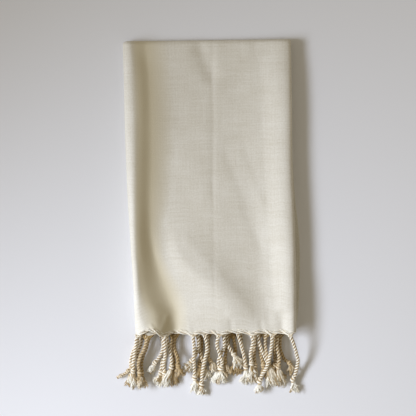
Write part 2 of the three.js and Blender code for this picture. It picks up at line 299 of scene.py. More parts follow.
SECTION_COLUMNS = (
    "y left crest crestZ brow browZ foot footZ hollow hollowZ "
    "ridge ridgeZ dip dipZ rise riseZ hip hipZ right backLeft backRight"
).split()
SECTIONS = np.array([
    [-115, -72, -60, 19.8, -52.5, 19.6, -33.2, 8.6, -19, 12,
     6, 13, 54, 12.6, 66, 13.6, 82.5, 16.8, 87, -71, 86],
    [-108, -72.5, -63, 19.9, -53, 19.5, -32.8, 8.6, -19, 12,
     14, 14, 56, 12.6, 66, 13.4, 82.5, 17, 87, -71.6, 88],
    [-98, -73, -67, 20.2, -54, 18.8, -32.6, 8.8, -19, 11.8,
     24, 15.8, 60, 12.4, 66, 13.2, 82.5, 17, 87, -72.5, 89.5],
    [-83, -73.5, -69.5, 20.3, -61.5, 18.6, -37, 8.8, -21, 11.6,
     18, 16, 56, 11, 63, 11.8, 82, 16.9, 87, -74, 90.8],
    [-68, -74, -70.5, 20.3, -66, 18.7, -42.5, 8.8, -27, 10.6,
     6, 15.4, 51, 8.8, 61, 9.8, 81.5, 16.6, 87, -75, 91],
    [-53, -75, -71.3, 20.2, -67.6, 18.8, -48, 9.2, -36, 10.2,
     -12, 14, 51, 7.6, 60, 8.6, 81, 15.8, 86.6, -76, 91.5],
    [-33, -76, -73, 20, -69.4, 19, -53.5, 10.1, -44, 10,
     -28, 12.4, 50, 6.7, 59, 8, 80.5, 15.6, 86.3, -77.4, 91.2],
    [-13, -77, -73.4, 20, -69.8, 18.9, -57, 11.2, -44, 9.6,
     -32, 10.2, 47, 6.6, 57, 8.2, 79.5, 15.6, 85.8, -78.6, 90],
    [17, -79, -73.6, 20, -69.8, 18.7, -57, 11.7, -38, 8.8,
     -6, 8.5, 42, 6.9, 56, 8.7, 78, 15.4, 84.5, -80.5, 86.5],
    [47, -80.5, -73.6, 19.8, -69, 18.2, -56.5, 11.8, -36, 8.2,
     -8, 7.8, 36, 6.4, 54, 8.2, 77.5, 15.2, 83.5, -81.8, 84.5],
    [77, -82, -74, 19.5, -68, 17.5, -56.5, 11.8, -34, 7.6,
     -8, 7, 28, 6, 52, 8.1, 77, 15, 83.1, -83, 82.8],
    [107, -83, -74.6, 18.9, -68, 17, -57, 11.6, -34, 7.5,
     -10, 6.7, 22, 6, 51, 8.1, 76.4, 14.8, 82.9, -83.9, 82.3],
    [137, -83.8, -76, 17.8, -69, 15.8, -58, 10.8, -36, 7.6,
     -12, 6.9, 20, 6.4, 50, 8.5, 75.8, 14.4, 82.5, -84.4, 82],
    [157, -84.5, -77, 16, -70.5, 14, -60, 9.8, -38, 8,
     -12, 7.5, 16, 7.4, 48, 8.8, 75, 13.4, 82.2, -84.6, 81.9],
    [172, -85, -78, 14.6, -71.5, 12.8, -61, 9.8, -40, 8.6,
     -15, 8.2, 14, 8, 48, 9.2, 75, 12.8, 82, -84.7, 81.7],
])
print(len(SECTIONS), "sections")

# %% [markdown]
# ## Between the sections
#
# Straight lines from section to section would leave hard edges, and common splines swing past their
# points and add bumps. Curves that keep between neighbouring points give soft and honest folds.

# %% Between the sections
def mix(a, b, share):
    return a + (b - a) * share


def through(xs, ys, x):
    """Smooth curves through the points (xs, ys), which run down the rows, that never overshoot."""
    x = np.asarray(x, float)
    xs, ys = (np.broadcast_to(np.asarray(t, float).reshape(len(t), -1), (len(t), x.size)) for t in (xs, ys))
    rise = np.diff(ys, axis=0) / np.diff(xs, axis=0)
    product = rise[:-1] * rise[1:]
    total = np.where(product > 0, rise[:-1] + rise[1:], 1)
    flat = np.zeros((1, x.size))
    slope = np.vstack([flat, np.where(product > 0, 2 * product / total, 0), flat])
    span = np.clip((x >= xs).sum(axis=0) - 1, 0, len(xs) - 2)[None]
    low, high, start, end, leave, reach = (
        np.take_along_axis(table, span + step, axis=0)[0]
        for table, step in ((xs, 0), (xs, 1), (ys, 0), (ys, 1), (slope, 0), (slope, 1))
    )
    t = np.clip((x - low) / (high - low), 0, 1)
    curve = (high - low) * t * (1 - t) * ((1 - t) * leave - t * reach)
    return mix(start, end, t * t * (3 - 2 * t)) + curve


def section_at(y):
    return {
        name: through(SECTIONS[:, 0], SECTIONS[:, i], y)
        for i, name in enumerate(SECTION_COLUMNS)
    }


print("crest of the roll", round(float(section_at([0.0])["crestZ"][0]), 1), "mm high at y = 0")

# %% [markdown]
# ## Creases
#
# The towel was kept in a drawer, so old fold lines cross the panel: one down its middle, which has
# a slight kink, and one across. Soft dents and drag lines lie between them. Each is a trough or a
# ridge along a short line, fading at its ends, in its own width and height.

# %% Creases
FADE = 0.2  # share of a crease's length over which it fades, half of it past its end
CREASE_COLUMNS = "x0 y0 x1 y1 width height sharp".split()
CREASES = [
    [4.2, 182, 4.6, 18, 2.6, -0.6, 1],  # centre fold, upper half
    [4.6, 26, 7, -118, 1.8, -0.25, 1],  # centre fold, lower half
    [0, 34, 86, 33, 2.2, -0.2, 1],  # cross fold
    [-60, 35, 4, 34, 2.2, -0.1, 1],
    [-10, 174, 5, 135, 8, -1.9, 0],  # dent under the crosswise fold
    [53, 178, 51, 160, 6, 0.4, 0],
    [38, 174, 40, 160, 5, 0.35, 0],
    [16, 66, 46, -6, 5.0, -0.35, 0],  # drag lines
    [28, 74, 54, 10, 4.5, 0.3, 0],
    [34, 10, 52, -30, 4.5, -0.3, 0],
    [-24, -20, 2, -48, 5, 0.3, 0],
    [6, -50, 44, -98, 5, 0.3, 0],
    [-20, -96, -12, -118, 4, -0.3, 0],
    [14, -92, 18, -118, 4, -0.3, 0],
    [58, -98, 66, -118, 5, -0.4, 0],
    [73, -94, 75, -121, 6, -1.8, 0],  # waves that end at the edge
    [-4, -96, -4, -121, 14, -1.0, 0],
    [28, -98, 28, -121, 8, -0.5, 0],
    [-56.5, -106, -49, -119, 1.3, 0.9, 0],  # puckers that the knots draw in the edge
    [-41, -97, -47.5, -117, 1.6, 0.8, 0],
    [-22, -104, -22, -118, 2.5, -0.5, 0],
    [22, -100, 23, -118, 3, -0.6, 0],
    [52, -102, 53, -118, 2.5, -0.5, 0],
    [73, -102, 73, -118, 2.5, -0.5, 0],
]


def relief(x, y):
    """Height that the creases add to the panel."""
    total = 0.0
    for row in CREASES:
        c = dict(zip(CREASE_COLUMNS, row))
        run = np.array([c["x1"] - c["x0"], c["y1"] - c["y0"]], float)
        length = math.hypot(*run)
        run /= length
        along = (x - c["x0"]) * run[0] + (y - c["y0"]) * run[1]
        aside = np.abs((y - c["y0"]) * run[0] - (x - c["x0"]) * run[1]) / c["width"]
        fade = np.clip(np.minimum(along, length - along) / (FADE * length) + 0.5, 0, 1)
        profile = np.exp(-aside) if c["sharp"] else np.exp(-(aside**2))
        total = total + c["height"] * profile * fade * fade * (3 - 2 * fade)
    return total


print(len(CREASES), "creases")

# %% [markdown]
# ## Height of the cloth
#
# The front panel's height is its section, with the creases and a faint unevenness added. The layers
# below it take less and less of that shape, down to the undermost, which lies flat.

# %% Height of the cloth
BROAD_WAVE = 0.10  # heights of two faint waves all over the cloth
SLANTING_WAVE = 0.07


def waviness(x, y):
    """A very slight unevenness, since no cloth lies quite flat."""
    broad = np.sin(x / 11 + 0.6 * np.sin(y / 23)) * np.sin(y / 17 + 1.3)
    slanting = np.sin((x + 0.7 * y) / 7.3 + 0.8 * np.sin(x / 19))
    return BROAD_WAVE * broad + SLANTING_WAVE * slanting


def panel_height(x, y):
    s = section_at(y)
    features = "crest brow foot hollow ridge dip rise hip".split()
    places = [s["left"], *(s[name] for name in features), s["right"]]
    heights = [s["crestZ"] - ROLL_FALL, *(s[name + "Z"] for name in features), s["hipZ"] - HIP_FALL]
    return through(places, heights, x) + relief(x, y) + waviness(x, y)


def layer_height(x, y, level):
    """Level 0 is the flat undermost layer and level 1 the front panel."""
    tight = LAST * TIGHT_PITCH
    slack = panel_height(x, y) - SHEET / 2 - tight
    return SHEET / 2 + tight * level + slack * level**2


middle_height = layer_height(np.zeros(1), np.zeros(1), 1)
print("front panel", round(float(middle_height[0]), 1), "mm high at x = y = 0")

# %% [markdown]
# ## Cords of the fringe
#
# Eighteen cords hang from each end, about 28 mm apart along the cloth and crowded together where it
# is folded. Their places are listed: the layer that a cord grows from, its x at the woven edge, the
# half-width of its frayed tuft, how much shade is painted on its yarn where it lies in shadow, how
# high its tip rests, and a route of points (x, distance below the edge) whose last two are its knot
# and its tip. A fractional layer is a place on the turn between two layers. The cloth needs their
# roots first, because the edge is drawn down a little at each.

# %% Places of the cords
CORD_COLUMNS = "layer root tuft tan rest route".split()
CORDS = [
    [0.41, -70.5, 4.0, 0, 3.4, [[-72, 13], [-73.7, 25], [-75, 38], [-74.5, 55]]],
    [1.9, -66.4, 3.2, 0.1, 3.4, [[-67, 12], [-70.5, 20], [-70.7, 30], [-69, 38], [-66, 54]]],
    [1, -60, 3.4, 0.45, 3.4, [[-63, 14], [-67.5, 23], [-69.5, 31], [-68, 40], [-67, 54]]],
    [0, -44, 4.2, 0, 3.4, [[-43, 13], [-43, 24], [-44.5, 32], [-43.5, 42], [-44, 54]]],
    [1, -42, 4.6, 0, 5, [[-39.5, 13], [-37, 24], [-37, 35], [-41.5, 53]]],
    [2, -33, 4, 0.6, 9.5, [[-34, 14], [-30.5, 25], [-29.8, 34], [-27, 44]]],
    [0, -15.5, 4.2, 0, 3.4, [[-14, 14], [-14.4, 28], [-13.4, 46], [-13.5, 60]]],
    [2, -11, 4.8, 0.1, 5.5, [[-9.7, 11], [-12.5, 22], [-17.5, 29], [-25, 40]]],
    [1, -4, 4, 0, 3.4, [[-1.2, 14], [-3, 25], [-5.2, 35], [-6.8, 52], [-5, 64]]],
    [0, 11, 4.4, 0, 3.4, [[8.5, 10.5], [11.5, 21.5], [13.8, 30], [12.5, 36], [15, 50]]],
    [1, 15, 4.4, 0, 3.4, [[15.8, 12], [12.5, 21.5], [10, 29], [10.8, 36], [9, 51]]],
    [2, 17.5, 3.6, 0.1, 6, [[18.8, 10], [22.5, 17.5], [26, 22.5], [30.5, 34]]],
    [0, 43, 3.6, 0, 3.4, [[44.3, 9], [42, 20], [43, 32], [44, 46]]],
    [1, 48, 5.2, 0, 3.4, [[51.8, 13], [56, 24], [59, 32], [60, 41], [65, 54]]],
    [2, 58, 4.8, 0.3, 5, [[56.5, 10], [58, 21], [60, 32], [66.5, 52]]],
    [0, 63.5, 4.2, 0, 6, [[62.6, 13], [60.7, 25], [57.5, 35], [52.5, 44], [51, 49], [51.5, 60]]],
    [2, 69, 4.8, 0.35, 3.4, [[68.3, 13], [70.5, 24], [69.5, 35], [73, 53]]],
    [0, 80, 3.2, 0, 3.4, [[84.5, 11], [88, 23], [89, 29], [86.5, 42], [84, 47.5], [87.5, 60]]],
    [4.9, -66, 4.2, 0.1, 3.4, [[-72.5, 14], [-77, 28], [-77.5, 42], [-78, 55]]],
    [3.41, -69, 0, 0.3, 3.4, [[-71, 14], [-75, 30], [-80.5, 39], [-91, 45]]],
    [3, -58, 3.8, 0.45, 3.4, [[-61.5, 14], [-66.5, 28], [-67, 41], [-65, 55]]],
    [3, -45, 4.4, 0.05, 3.4, [[-45, 15], [-48.5, 24], [-53.5, 30.5], [-58, 41]]],
    [5, -48, 4.4, 0.1, 3.4, [[-44, 18], [-46, 29], [-47.5, 41], [-53, 53]]],
    [5, -34, 4.4, 0.6, 3.4, [[-37, 14], [-35, 26], [-34.5, 36], [-35, 52]]],
    [3, -9, 3.6, 0.35, 3.4, [[-9, 15], [-6.5, 26], [-4, 35], [-1.5, 46]]],
    [4, -7.5, 3.2, 0.6, 3.4, [[-7.2, 13], [-7.5, 24], [-9, 34], [-9.5, 46]]],
    [4, -1, 3.8, 0.4, 3.4, [[0, 13], [0, 25], [2, 29], [7, 39]]],
    [4, 21, 6.2, 0.55, 3.4, [[19.5, 10], [17, 22], [16.5, 31], [20, 42]]],
    [5, 24, 6.2, 0.7, 3.4, [[26, 11], [27, 21], [26.5, 31], [26, 43]]],
    [3, 29, 5, 0.1, 3.4, [[33, 12.5], [35.3, 22], [37.5, 36], [38, 52]]],
    [5, 32, 4.8, 0.05, 3.4, [[33, 12], [34, 19], [35.5, 24], [34, 36]]],
    [5, 46, 3.8, 0.35, 3.4, [[46.3, 13], [45.7, 22], [46.3, 33], [47.5, 49]]],
    [3, 51, 3.8, 0.5, 3.4, [[51, 14], [53, 24], [55.5, 34], [56, 47]]],
    [5, 66, 5, 0.6, 3.4, [[66.3, 14], [66.5, 26], [69, 36], [73, 47]]],
    [3, 71.5, 4, 0.5, 3.4, [[71, 16], [76, 27], [81.5, 31], [83.5, 42]]],
    [5, 72, 5, 0.4, 3.4, [[71, 14], [70, 25], [65, 34], [63, 47]]],
]
CORDS = [dict(zip(CORD_COLUMNS, row)) for row in CORDS]
print(len(CORDS), "cords in all")

# %% [markdown]
# ## The woven ends
#
# A hand-fringed edge isn't straight. Each cord draws its own bit of it down, so the edge hangs in
# small scallops, and the thick roll at the left draws the top layer back. Each layer's end is one
# line with these added to it.

# %% The woven ends
SCALLOP_PULL = 2.6  # how far a cord draws the edge down
SCALLOP_WIDTH = 4.6
MOST_PULLED = 1.1  # where cords crowd together, they draw no further than this many do


def edge_line(x, depth):
    """The woven end of a layer."""
    x = np.asarray(x, float)
    arch = ARCH["height"] * np.exp(-(((x - ARCH["x"]) / ARCH["width"]) ** 2)) * np.clip(1 - depth, 0, 1)
    drop = through(range(LAST + 1), LAYER_DROPS, depth)
    pull = sum(
        np.exp(-(((x - c["root"]) / SCALLOP_WIDTH) ** 2)) * np.clip(1 - abs(depth - c["layer"]), 0, 1)
        for c in CORDS
    )
    line = EDGE_LINE + EDGE_SLOPE * x - drop + arch
    return line + 0.5 * SCALLOP_PULL - SCALLOP_PULL * np.minimum(pull, MOST_PULLED)


print("the front panel ends at y =", round(float(edge_line([0], 0)[0]), 1), "mm in its middle")

# %% [markdown]
# ## The folded grid
#
# A sheet can be draped by simulation or laid out by hand. Here each fold is known, so the panel is a
# grid of points put through the folds, finest where it shows. A column of the grid runs along the
# towel. It has a share of the way across its layer, or a place on one of the two side turns. A row
# runs across all three layers of a half, and some rows lie round the crosswise fold.

# %% The folded grid
def sheet_columns(hidden=40, shown=96, turn=8, roll=14):
    """Columns of the grid as rows of (share across, bulge left, bulge right, depth)."""
    def across(count, depth, back=False):
        share = np.linspace(1, 0, count) if back else np.linspace(0, 1, count)
        return np.column_stack([share, 0 * share, 0 * share, 0 * share + depth])

    def round_turn(count, share, side, depth_at):
        angle = math.pi * np.arange(1, count) / count
        bulge = np.sin(angle)
        return np.column_stack([0 * angle + share, bulge * (side < 0), bulge * (side > 0), depth_at(angle)])

    return np.vstack([
        across(hidden, 1),
        round_turn(turn, 1, 1, lambda angle: (1 + np.cos(angle)) / 2),
        across(shown, 0, back=True),
        round_turn(roll, 0, -1, lambda angle: 1 - np.cos(angle)),
        across(hidden, 2),
    ])


def sheet_rows(front=138, fold=12, back=60):
    """Rows of the grid as (angle round the crosswise fold, share along the panel's half)."""
    return (
        [(0.0, along) for along in np.linspace(0, 1, front)]
        + [(math.pi * k / fold, 1.0) for k in range(1, fold)]
        + [(math.pi, along) for along in np.linspace(1, 0, back)]
    )


def sheet_point(columns, angle, along, below=0.0):
    """A row of points of the folded sheet, in millimetres."""
    share_across, bulge_left, bulge_right, depth = columns.T
    back = (1 - math.cos(angle)) / 2
    fold_y = TOP_LINE - SHEET / 2 - LAST / 2 * FOLD_PITCH
    s = section_at(np.full(len(columns), mix(EDGE_LINE, fold_y, along)))
    left = mix(s["left"], s["backLeft"], back) + SHEET / 2
    right = mix(s["right"], s["backRight"], back) - SHEET / 2
    roll_start = mix(left, s["crest"], ROLL_SHARE)
    turn_start = right - mix(FRONT_TURN, BACK_TURN, back)
    x = mix(roll_start, turn_start, share_across)
    x = x - (roll_start - left) * bulge_left + (right - turn_start) * bulge_right
    edge = edge_line(x, depth if angle < math.pi / 2 else LAST - depth) - below
    reach = (LAST / 2 - depth) * FOLD_PITCH
    y = mix(edge, fold_y + TOP_SLOPE * x, along) + reach * math.sin(angle)
    level = 1 - mix(depth, LAST - depth, back) / LAST
    return np.column_stack([x, y, layer_height(x, y, level)])


columns = sheet_columns()
grid = np.array([sheet_point(columns, angle, along) for angle, along in sheet_rows()])
print("grid of", grid.shape[0], "rows and", grid.shape[1], "columns")

# %% [markdown]
# ## Meshes from points
#
# The sheet and the fringes are worked out point by point, so their meshes are made from data. Each
# keeps two things for its finish: thread coordinates, and a depth, by which the finish paints shade in
# hollows and on what lies in shadow, and paler yarn below zero.

# %% Meshes from points
def mesh_object(name, points, quads, threads):
    """A new object from points in metres, four-sided faces and their thread coordinates."""
    mesh = bpy.data.meshes.new(name)
    mesh.from_pydata(points.tolist(), [], quads.tolist())
    layer = mesh.uv_layers.new(name="threads")
    layer.data.foreach_set("uv", threads[quads.ravel()].astype(np.float32).ravel())
    mesh.shade_smooth()
    mesh.validate()
    made = bpy.data.objects.new(name, mesh)
    bpy.context.collection.objects.link(made)
    return made


def give_painted_shading(piece, depth):
    """Stores each point's depth, by which the finish paints shade, and below zero a paler colour."""
    piece.data.attributes.new("depth", "FLOAT", "POINT").data.foreach_set("value", depth.astype(np.float32))


print("meshes keep thread coordinates and a depth")

# %% [markdown]
# ## The sheet
#
# Solidify gives the folded grid its thickness, half of it to each side. The texture coordinates of
# the cloth are its own threads, in metres across and along the flat panel, so the weave follows the
# folds. The valley beside the roll is marked as deep, and the finish paints shade there.

# %% The sheet
def painted_valley_shade(x, y):
    """Painted shade: 1 in the valley beside the roll, where the shade is deepest, and 0 on the open panel.
    """
    s = section_at(y.ravel())
    x = x.ravel()
    rise = np.clip((x - s["crest"]) / (s["brow"] - s["crest"]), 0, 1)
    fall = np.clip((s["hollow"] - x) / (s["hollow"] - s["foot"]), 0, 1)
    return (rise * fall).reshape(y.shape)


def grid_quads(rows, columns):
    corner = (np.arange(rows - 1)[:, None] * columns + np.arange(columns - 1)).ravel()
    return np.column_stack([corner, corner + columns, corner + columns + 1, corner + 1])


def apply_modifiers(piece):
    bpy.ops.object.select_all(action="DESELECT")
    bpy.context.view_layer.objects.active = piece
    piece.select_set(True)
    for modifier in list(piece.modifiers):
        bpy.ops.object.modifier_apply(modifier=modifier.name)
    piece.select_set(False)


shift = np.array([
    cloth_low.x / MM - (grid[..., 0].min() - SHEET / 2),
    cloth_high.y / MM - (grid[..., 1].max() + SHEET / 2),
    0.0,
])
across = np.linalg.norm(np.diff(grid, axis=1), axis=2).mean(axis=0)
along = np.linalg.norm(np.diff(grid, axis=0), axis=2).mean(axis=1)
threads_u, threads_v = (np.concatenate([[0], np.cumsum(steps)]) * MM for steps in (across, along))
threads = np.stack(np.meshgrid(threads_u, threads_v), axis=-1).reshape(-1, 2)
towel = mesh_object("towel_sheet", (grid + shift).reshape(-1, 3) * MM, grid_quads(*grid.shape[:2]), threads)
give_painted_shading(towel, painted_valley_shade(grid[..., 0], grid[..., 1]).ravel())
solidify = towel.modifiers.new("thickness", "SOLIDIFY")
solidify.thickness = SHEET * MM
solidify.offset = 0
solidify.use_rim = True
apply_modifiers(towel)
print("sheet", round(threads_u[-1], 3), "by", round(threads_v[-1], 3), "m")
print(len(towel.data.polygons), "faces")

# %% [markdown]
# ## Weave
#
# Plain weave passes each thread over one and under the next. Two sine waves, one across and one
# along, say which thread is on top, and its rounded back is the bump. Hand-spun yarn is uneven, so
# noise drawn out along the threads makes some thicker and some paler, which gives the fine streaks.

# %% Weave
THREAD_PITCH = 0.00078  # in metres, as the thread coordinates are
# dark end of the threads' own uneven tone, which also paints the weave's hollows as shade
HOLLOW_THREAD = (0.655, 0.61, 0.50)
BRIGHT_THREAD = (0.83, 0.80, 0.715)
# painted shade: the warm dark colour of the valley beside the roll
PAINTED_SHADE_CLOTH = (0.70, 0.63, 0.46)


def weave_finish():
    finish = Finish("plain weave cotton")
    u, v = finish.uv()
    warp = (u * (math.pi / THREAD_PITCH)).sine()
    weft = (v * (math.pi / THREAD_PITCH)).sine()
    over = warp * weft * 0.5 + 0.5
    height = (abs(warp) * over).or_more(abs(weft) * (1 - over))
    warp_slub = finish.noise(u * (1 / THREAD_PITCH / 1.6), v * 26.0, detail=1.0)
    weft_slub = finish.noise(u * 30.0 + 40.0, v * (1 / THREAD_PITCH / 1.8), detail=1.0)
    mottle = finish.noise(u * 45.0 + 9.0, v * 45.0, detail=3.0)
    grain = finish.noise(u * 600.0, v * 600.0 + 5.0, detail=2.0)
    share = (warp_slub - 0.5) * 0.35 + (weft_slub - 0.5) * 0.55
    share = share + (mottle - 0.5) * 0.5 + (grain - 0.5) * 0.75 + 0.5
    # painted shade: the hollows between the threads are a little darker than the threads' backs
    colour = finish.tint(share * (height * 0.3 + 0.85), HOLLOW_THREAD, BRIGHT_THREAD)
    deep = finish.node("ShaderNodeAttribute", {"attribute_name": "depth"}, output=2)
    # paints shade into the valley beside the roll
    colour = finish.tint(deep, colour, PAINTED_SHADE_CLOTH)
    bump = finish.node(
        "ShaderNodeBump",
        inputs={
            "Strength": 0.55,
            "Distance": 0.0003,
            "Height": height * 0.7 + warp_slub * 0.25 + weft_slub * 0.45,
        },
    )
    shader = finish.node(
        "ShaderNodeBsdfPrincipled",
        inputs={
            "Base Color": colour,
            "Roughness": 0.92,
            "Specular IOR Level": 0.15,
            "Sheen Weight": 0.08,
            "Normal": bump,
        },
    )
    return finish.done(shader)


towel.data.materials.append(weave_finish())
print("weave at", round(0.001 / THREAD_PITCH * 10), "threads a centimetre")

# %% [markdown]
# ## Centre lines
#
# Tight cords are stiff: each leaves the cloth level with its layer and bends down to rest on its
# knot and tuft. The routes above place them as seen from above, by a few points each. A smooth curve
# through those is stepped evenly, and gets its height from the root's layer and from where it rests.

# %% Centre lines
POINTS = 30  # along a cord
LANDING = 0.85  # share of its length at which a cord has come down to where it rests


def distance_along(line):
    """How far each point of a line is from its start."""
    return np.concatenate([[0], np.cumsum(np.linalg.norm(np.diff(line, axis=0), axis=1))])


def evenly(line, count):
    """A line's points again, at even steps along it."""
    distance = distance_along(line)
    even = np.linspace(0, distance[-1], count)
    return np.column_stack([np.interp(even, distance, line[:, k]) for k in range(line.shape[1])])


def smooth_route(knots, count, fineness=24):
    """Points at even steps on a smooth curve through the knots."""
    knots = np.array(knots, float)
    ends = np.vstack([2 * knots[0] - knots[1], knots, 2 * knots[-1] - knots[-2]])
    t = np.linspace(0, 1, fineness, endpoint=False)[:, None]
    fine = []
    for a, b, c, d in zip(ends, ends[1:], ends[2:], ends[3:]):
        stretch = 2 * b + (c - a) * t
        stretch = stretch + (2 * a - 5 * b + 4 * c - d) * t**2 + (3 * b - a - 3 * c + d) * t**3
        fine.append(0.5 * stretch)
    return evenly(np.vstack([*fine, knots[-1:]]), count)


def edge_place(x, layer):
    """A point of a layer's woven end."""
    y = float(edge_line([x], layer)[0])
    return np.array([x, y, float(layer_height(np.array([x]), np.array([y]), 1 - layer / LAST)[0])])


def first_route(c):
    """A cord's route before it settles."""
    root = edge_place(c["root"], c["layer"])
    plan = [root[:2] + [0, 0.6], *([x, EDGE_LINE - below] for x, below in c["route"])]
    line = smooth_route(plan, POINTS)
    share = np.clip(np.linspace(0, 1, POINTS) / LANDING, 0, 1)
    return np.column_stack([line, mix(root[2], c["rest"], share * share * (3 - 2 * share))])


def knot_place(c, line):
    """Which point of a cord's line is its knot."""
    x, below = c["route"][-2]
    return int(np.argmin(np.hypot(line[:, 0] - x, line[:, 1] - EDGE_LINE + below)))


print("first cord", round(float(distance_along(first_route(CORDS[0]))[-1])), "mm long before it settles")

# %% [markdown]
# ## How the cords lie
#
# Where cords cross, they lie on each other. They could be dropped in a simulation, but a few hundred
# rounds of pushing are quicker and always end the same: a cord is a chain of points that is pulled
# back to its own slope, is stiff against bending, and is pushed off the cords that it meets, mostly
# upwards or downwards, and off the surface.

# %% How the cords lie
CORD_RADIUS = 2.15
KNOT_GIRTH = 1.25  # girth of the knot and the tuft, as a share of the cord's
HELD = 2  # points at the root that the cloth holds
CLOSEST = 4.4  # how far apart two centre lines are pushed
LEAST_GAP = 0.3  # the distance at which the push is strongest
PUSH = [0.06, 0.06, 0.25]  # its strength in x, y and z
KEPT = [0.94, 0.94, 0.985]  # share of its shift in x, y and z that a point keeps from round to round
STIFFNESS = 0.35


def settle(cords, rounds=260):
    """Parts the cords where they meet."""
    plan = np.array([first_route(c) for c in cords])
    lines = plan.copy()
    knots = np.array([knot_place(c, line) for c, line in zip(cords, plan)])
    girth = np.where(np.arange(POINTS) > knots[:, None] - 2, KNOT_GIRTH, 1.0) * CORD_RADIUS
    owner = np.repeat(np.arange(len(lines)), POINTS)
    seen = plan[..., :2]
    spread = np.linalg.norm(seen.reshape(-1, 1, 2) - seen.reshape(1, -1, 2), axis=2)
    one, other = np.nonzero((owner[:, None] < owner[None]) & (spread < 2 * CLOSEST))
    for _ in range(rounds):
        moved = (lines - plan) * KEPT
        moved[:, 1:-1] += STIFFNESS * ((moved[:, :-2] + moved[:, 2:]) / 2 - moved[:, 1:-1])
        points = (plan + moved).reshape(-1, 3)
        gap = points[one] - points[other]
        short = np.maximum(CLOSEST / np.maximum(np.linalg.norm(gap, axis=1), LEAST_GAP) - 1, 0)
        push = short[:, None] * gap * PUSH
        np.add.at(points, one, push)
        np.subtract.at(points, other, push)
        lines = points.reshape(lines.shape)
        lines[..., 2] = np.maximum(lines[..., 2], girth)
        lines[:, :HELD] = plan[:, :HELD]
    return lines


routes = settle(CORDS)
print("cords", [round(float(distance_along(line)[-1])) for line in routes], "mm long")

# %% [markdown]
# ## Yarn as tubes
#
# Every strand of the fringes is a closed tube about a line, so one function makes them all: a ring
# of points at each step, and a fan of faces over each end. A point also gets its place round and
# along the strand, for the fibres, and its depth, for the painted shade. All tubes of a fringe are joined.

# %% Yarn as tubes
rng = np.random.default_rng(7)


def frames_along(line):
    """Unit tangent, sideways and upward directions at each point of a line."""
    tangent = np.gradient(line, axis=0)
    tangent /= np.linalg.norm(tangent, axis=1, keepdims=True)
    side = np.cross(tangent, [0, 0, 1])
    side /= np.maximum(np.linalg.norm(side, axis=1, keepdims=True), 1e-6)
    return tangent, side, np.cross(side, tangent)


def tube(line, radius, sides, depth=0.0):
    """Points, faces, thread coordinates and depths of a closed tube with an even number of sides."""
    line = np.asarray(line, float)
    _, side, up = frames_along(line)
    count = len(line)
    radius = np.broadcast_to(radius, (count,))
    angle = 2 * np.pi * np.arange(sides) / sides
    ring = side[:, None] * np.cos(angle)[:, None] + up[:, None] * np.sin(angle)[:, None]
    points = (line[:, None] + ring * radius[:, None, None]).reshape(-1, 3)
    corner = np.arange(count - 1)[:, None] * sides
    here, beside = corner + np.arange(sides), corner + (np.arange(sides) + 1) % sides
    quads = np.stack([here, here + sides, beside + sides, beside], axis=-1).reshape(-1, 4)
    first, last = len(points), len(points) + 1
    points = np.vstack([points, line[0], line[-1]])
    k = np.arange(0, sides, 2)
    far = (count - 1) * sides
    caps = [
        np.column_stack([0 * k + first, k, k + 1, (k + 2) % sides]),
        np.column_stack([0 * k + last, far + (k + 2) % sides, far + k + 1, far + k]),
    ]
    along = distance_along(line)
    threads = np.column_stack([np.tile(np.arange(sides) / sides, count), np.repeat(along, sides)])
    threads = np.vstack([threads, [[0.5, along[0]], [0.5, along[-1]]]])
    return points, np.vstack([quads, *caps]), threads, np.full(len(points), float(depth))


def join(parts):
    """One set of points, faces, thread coordinates and depths from several."""
    offsets = np.cumsum([0] + [len(p[0]) for p in parts[:-1]])
    return (
        np.vstack([p[0] for p in parts]),
        np.vstack([p[1] + o for p, o in zip(parts, offsets)]),
        np.vstack([p[2] + [k * 7.0, 0] for k, p in enumerate(parts)]),
        np.concatenate([p[3] for p in parts]),
    )


def paint_groove_shade(part, line, deep, shallow):
    """The part with painted shade at each point: 1 in the cord's grooves and 0 on its backs."""
    points, quads, threads, _ = part
    nearest = np.linalg.norm(points[:, None] - line[None, ::2], axis=2).min(axis=1)
    return points, quads, threads, np.clip((shallow - nearest) / (shallow - deep), 0, 1)


def resample(line, step):
    return evenly(line, max(4, int(distance_along(line)[-1] / step)))


def smoothed(line, times=6):
    line = line.copy()
    for _ in range(times):
        line[1:-1] = (line[:-2] + 2 * line[1:-1] + line[2:]) / 4
    return line


straight = tube(np.linspace([0, 0, 0], [0, 9, 0], 10), 1.0, 6)
print("a tube of ten rings with six corners has", len(straight[1]), "faces")

# %% [markdown]
# ## Twist
#
# A cord is two bundles of warp, each twisted tight and then laid round each other. Modelled as two
# tubes that wind about one line, it has the real bumps. Where it leaves the cloth, they lie side by
# side, flat and a little apart. A third tube between them is painted dark, as the shade in the seam.

# %% Twist
LAY = 6.0  # length of one full turn of the twist
PLY_RADIUS = 0.84
PLY_OFFSET = 1.16  # from the middle of the cord to the middle of a bundle
PLY_SIDES = 6
CORE_RADIUS = 0.85
RING_STEP = 0.5
GROOVE = 1.2  # how near the middle of the cord the painted groove shade is darkest
BACK = 1.8  # how far from it the painted shade has faded out
PARTING = 1.5  # how far each bundle is moved out at the root, and how soon they close up
LEAD_IN = 2.5  # length over which the twist sets in
UNTWISTED = 1.0  # length of the root that has no twist


